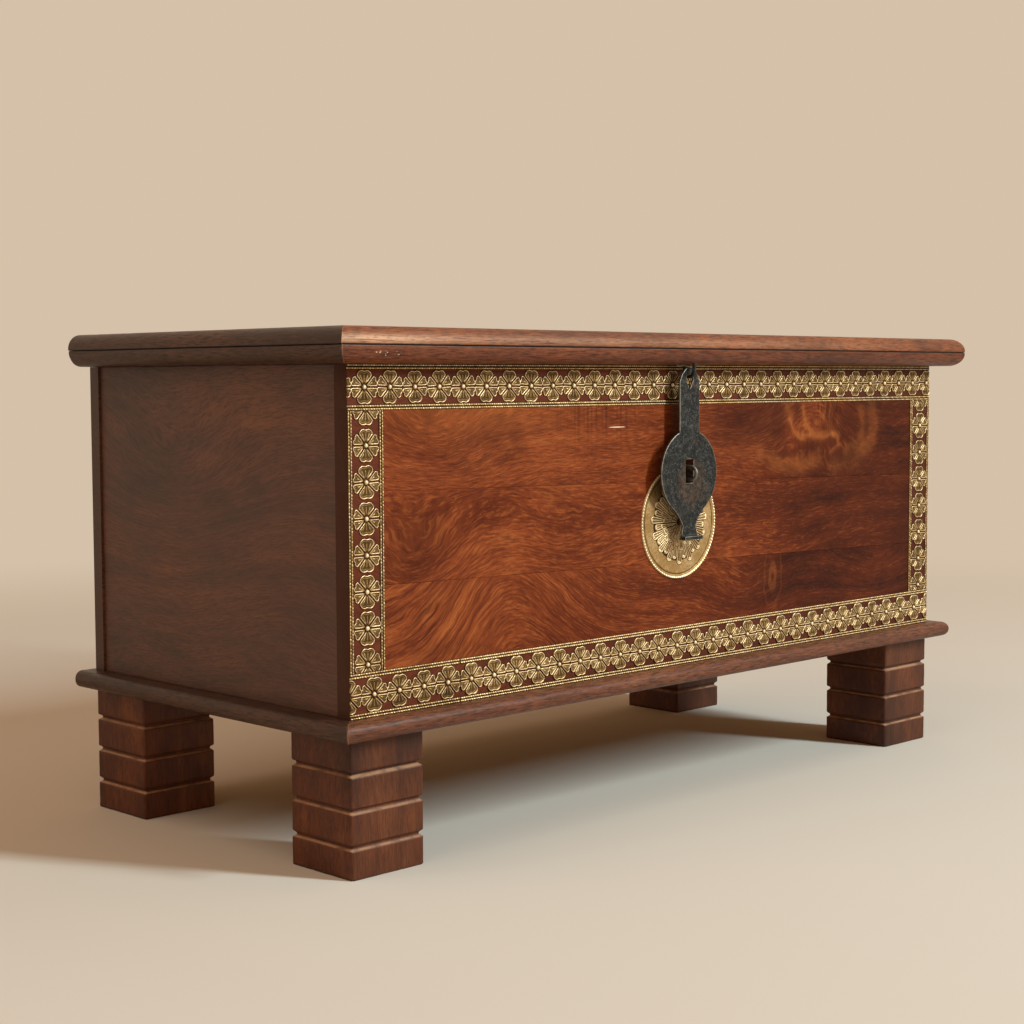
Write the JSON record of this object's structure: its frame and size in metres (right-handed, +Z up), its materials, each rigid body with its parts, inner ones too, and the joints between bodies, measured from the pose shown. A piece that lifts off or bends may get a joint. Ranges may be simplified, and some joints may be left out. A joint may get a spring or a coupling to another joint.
{
  "type": "damchiya chest",
  "caption": "Rectangular wooden storage chest on square grooved block feet, with a hinged lid, pierced brass bands, a brass disc and an iron hasp over a staple.",
  "frame": {"origin": "on the floor, at the middle of the chest's overall length and depth", "axes": "+X along the length, to the right as seen from the front; -Y out of the front with the hasp; +Z up"},
  "size_m": [1.174, 0.542, 0.588],
  "materials": {
    "front_wood": "waxed, satin, figured",
    "moulding_wood": "waxed, worn, semi-gloss",
    "case_wood": "waxed, satin, dark",
    "foot_wood": "waxed, satin",
    "plain_wood": "dull, lightly waxed",
    "brass": "embossed sheet, aged",
    "forged_iron": "forged, blackened, worn",
    "iron_fixings": "dark, lightly rusted"
  },
  "bodies": {
    "chest": {"back_board_lower": "case_wood", "back_board_middle": "case_wood", "back_board_upper": "case_wood", "band_nails": "brass", "base_moulding_front": "moulding_wood", "base_moulding_left": "moulding_wood", "base_moulding_rear": "moulding_wood", "base_moulding_right": "moulding_wood", "bottom_board_front": "plain_wood", "bottom_board_middle": "plain_wood", "bottom_board_rear": "plain_wood", "brass_band_bottom": "brass", "brass_band_left": "brass", "brass_band_right": "brass", "brass_band_top": "brass", "end_panel_left": "case_wood", "end_panel_right": "case_wood", "foot_front_left": "foot_wood", "foot_front_right": "foot_wood", "foot_rear_left": "foot_wood", "foot_rear_right": "foot_wood", "front_board_lower": "front_wood", "front_board_middle": "front_wood", "front_board_upper": "front_wood", "front_rail_top": "front_wood", "hinge_box_leaf_left": "forged_iron", "hinge_box_leaf_right": "forged_iron", "hinge_pin_left": "iron_fixings", "hinge_pin_right": "iron_fixings", "hinge_screws_box": "iron_fixings", "lock_staple": "forged_iron", "medallion": "brass"},
    "lid": {"hasp_plate": "forged_iron", "hasp_staple": "forged_iron", "hinge_lid_leaf_left": "forged_iron", "hinge_lid_leaf_right": "forged_iron", "hinge_screws_lid": "iron_fixings", "lid_batten_left": "plain_wood", "lid_batten_right": "plain_wood", "lid_board_front": "plain_wood", "lid_board_middle": "plain_wood", "lid_board_rear": "plain_wood", "lid_edge_front": "moulding_wood", "lid_edge_left": "moulding_wood", "lid_edge_rear": "moulding_wood", "lid_edge_right": "moulding_wood", "lid_rim_front": "moulding_wood", "lid_rim_left": "moulding_wood", "lid_rim_rear": "moulding_wood", "lid_rim_right": "moulding_wood"},
    "hasp": {"hasp": "forged_iron"}
  },
  "joints": [
    {"name": "lid_hinge", "type": "hinge", "parent": "chest", "child": "lid", "pos_m": [0, 0.255, 0.5534], "axis": [-1, 0, 0], "range_deg": [0, 105]},
    {"name": "hasp_swing", "type": "hinge", "parent": "lid", "child": "hasp", "pos_m": [-0.016, -0.251, 0.5425], "axis": [-1, 0, 0], "range_deg": [0, 110]}
  ]
}
